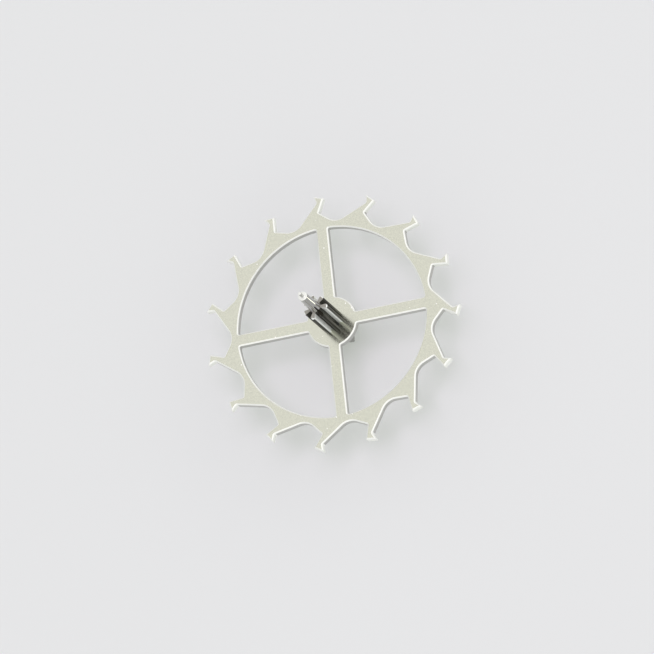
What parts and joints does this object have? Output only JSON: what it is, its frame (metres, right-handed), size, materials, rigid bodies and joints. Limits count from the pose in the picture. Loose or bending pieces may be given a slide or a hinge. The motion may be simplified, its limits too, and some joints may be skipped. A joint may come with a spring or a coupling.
{
  "type": "escape wheel",
  "caption": "Flat club-tooth lever escape wheel with straight arms, riveted on a leaf pinion whose arbor ends in pivots.",
  "frame": {"origin": "on the arbor's axis, in the plane of the lower pivot's shoulder", "axes": "+Z along the arbor towards the pinion and the upper pivot; +X and +Y along two of the wheel's arms"},
  "size_m": [0.007, 0.0069, 0.0044],
  "materials": {
    "wheel_steel": "flat-ground hardened steel with polished bevels and tooth faces",
    "pinion_steel": "hardened steel, leaves and pivots burnished to a black polish"
  },
  "bodies": {
    "root": {"escape_wheel": "wheel_steel", "escape_pinion": "pinion_steel"}
  },
  "joints": []
}
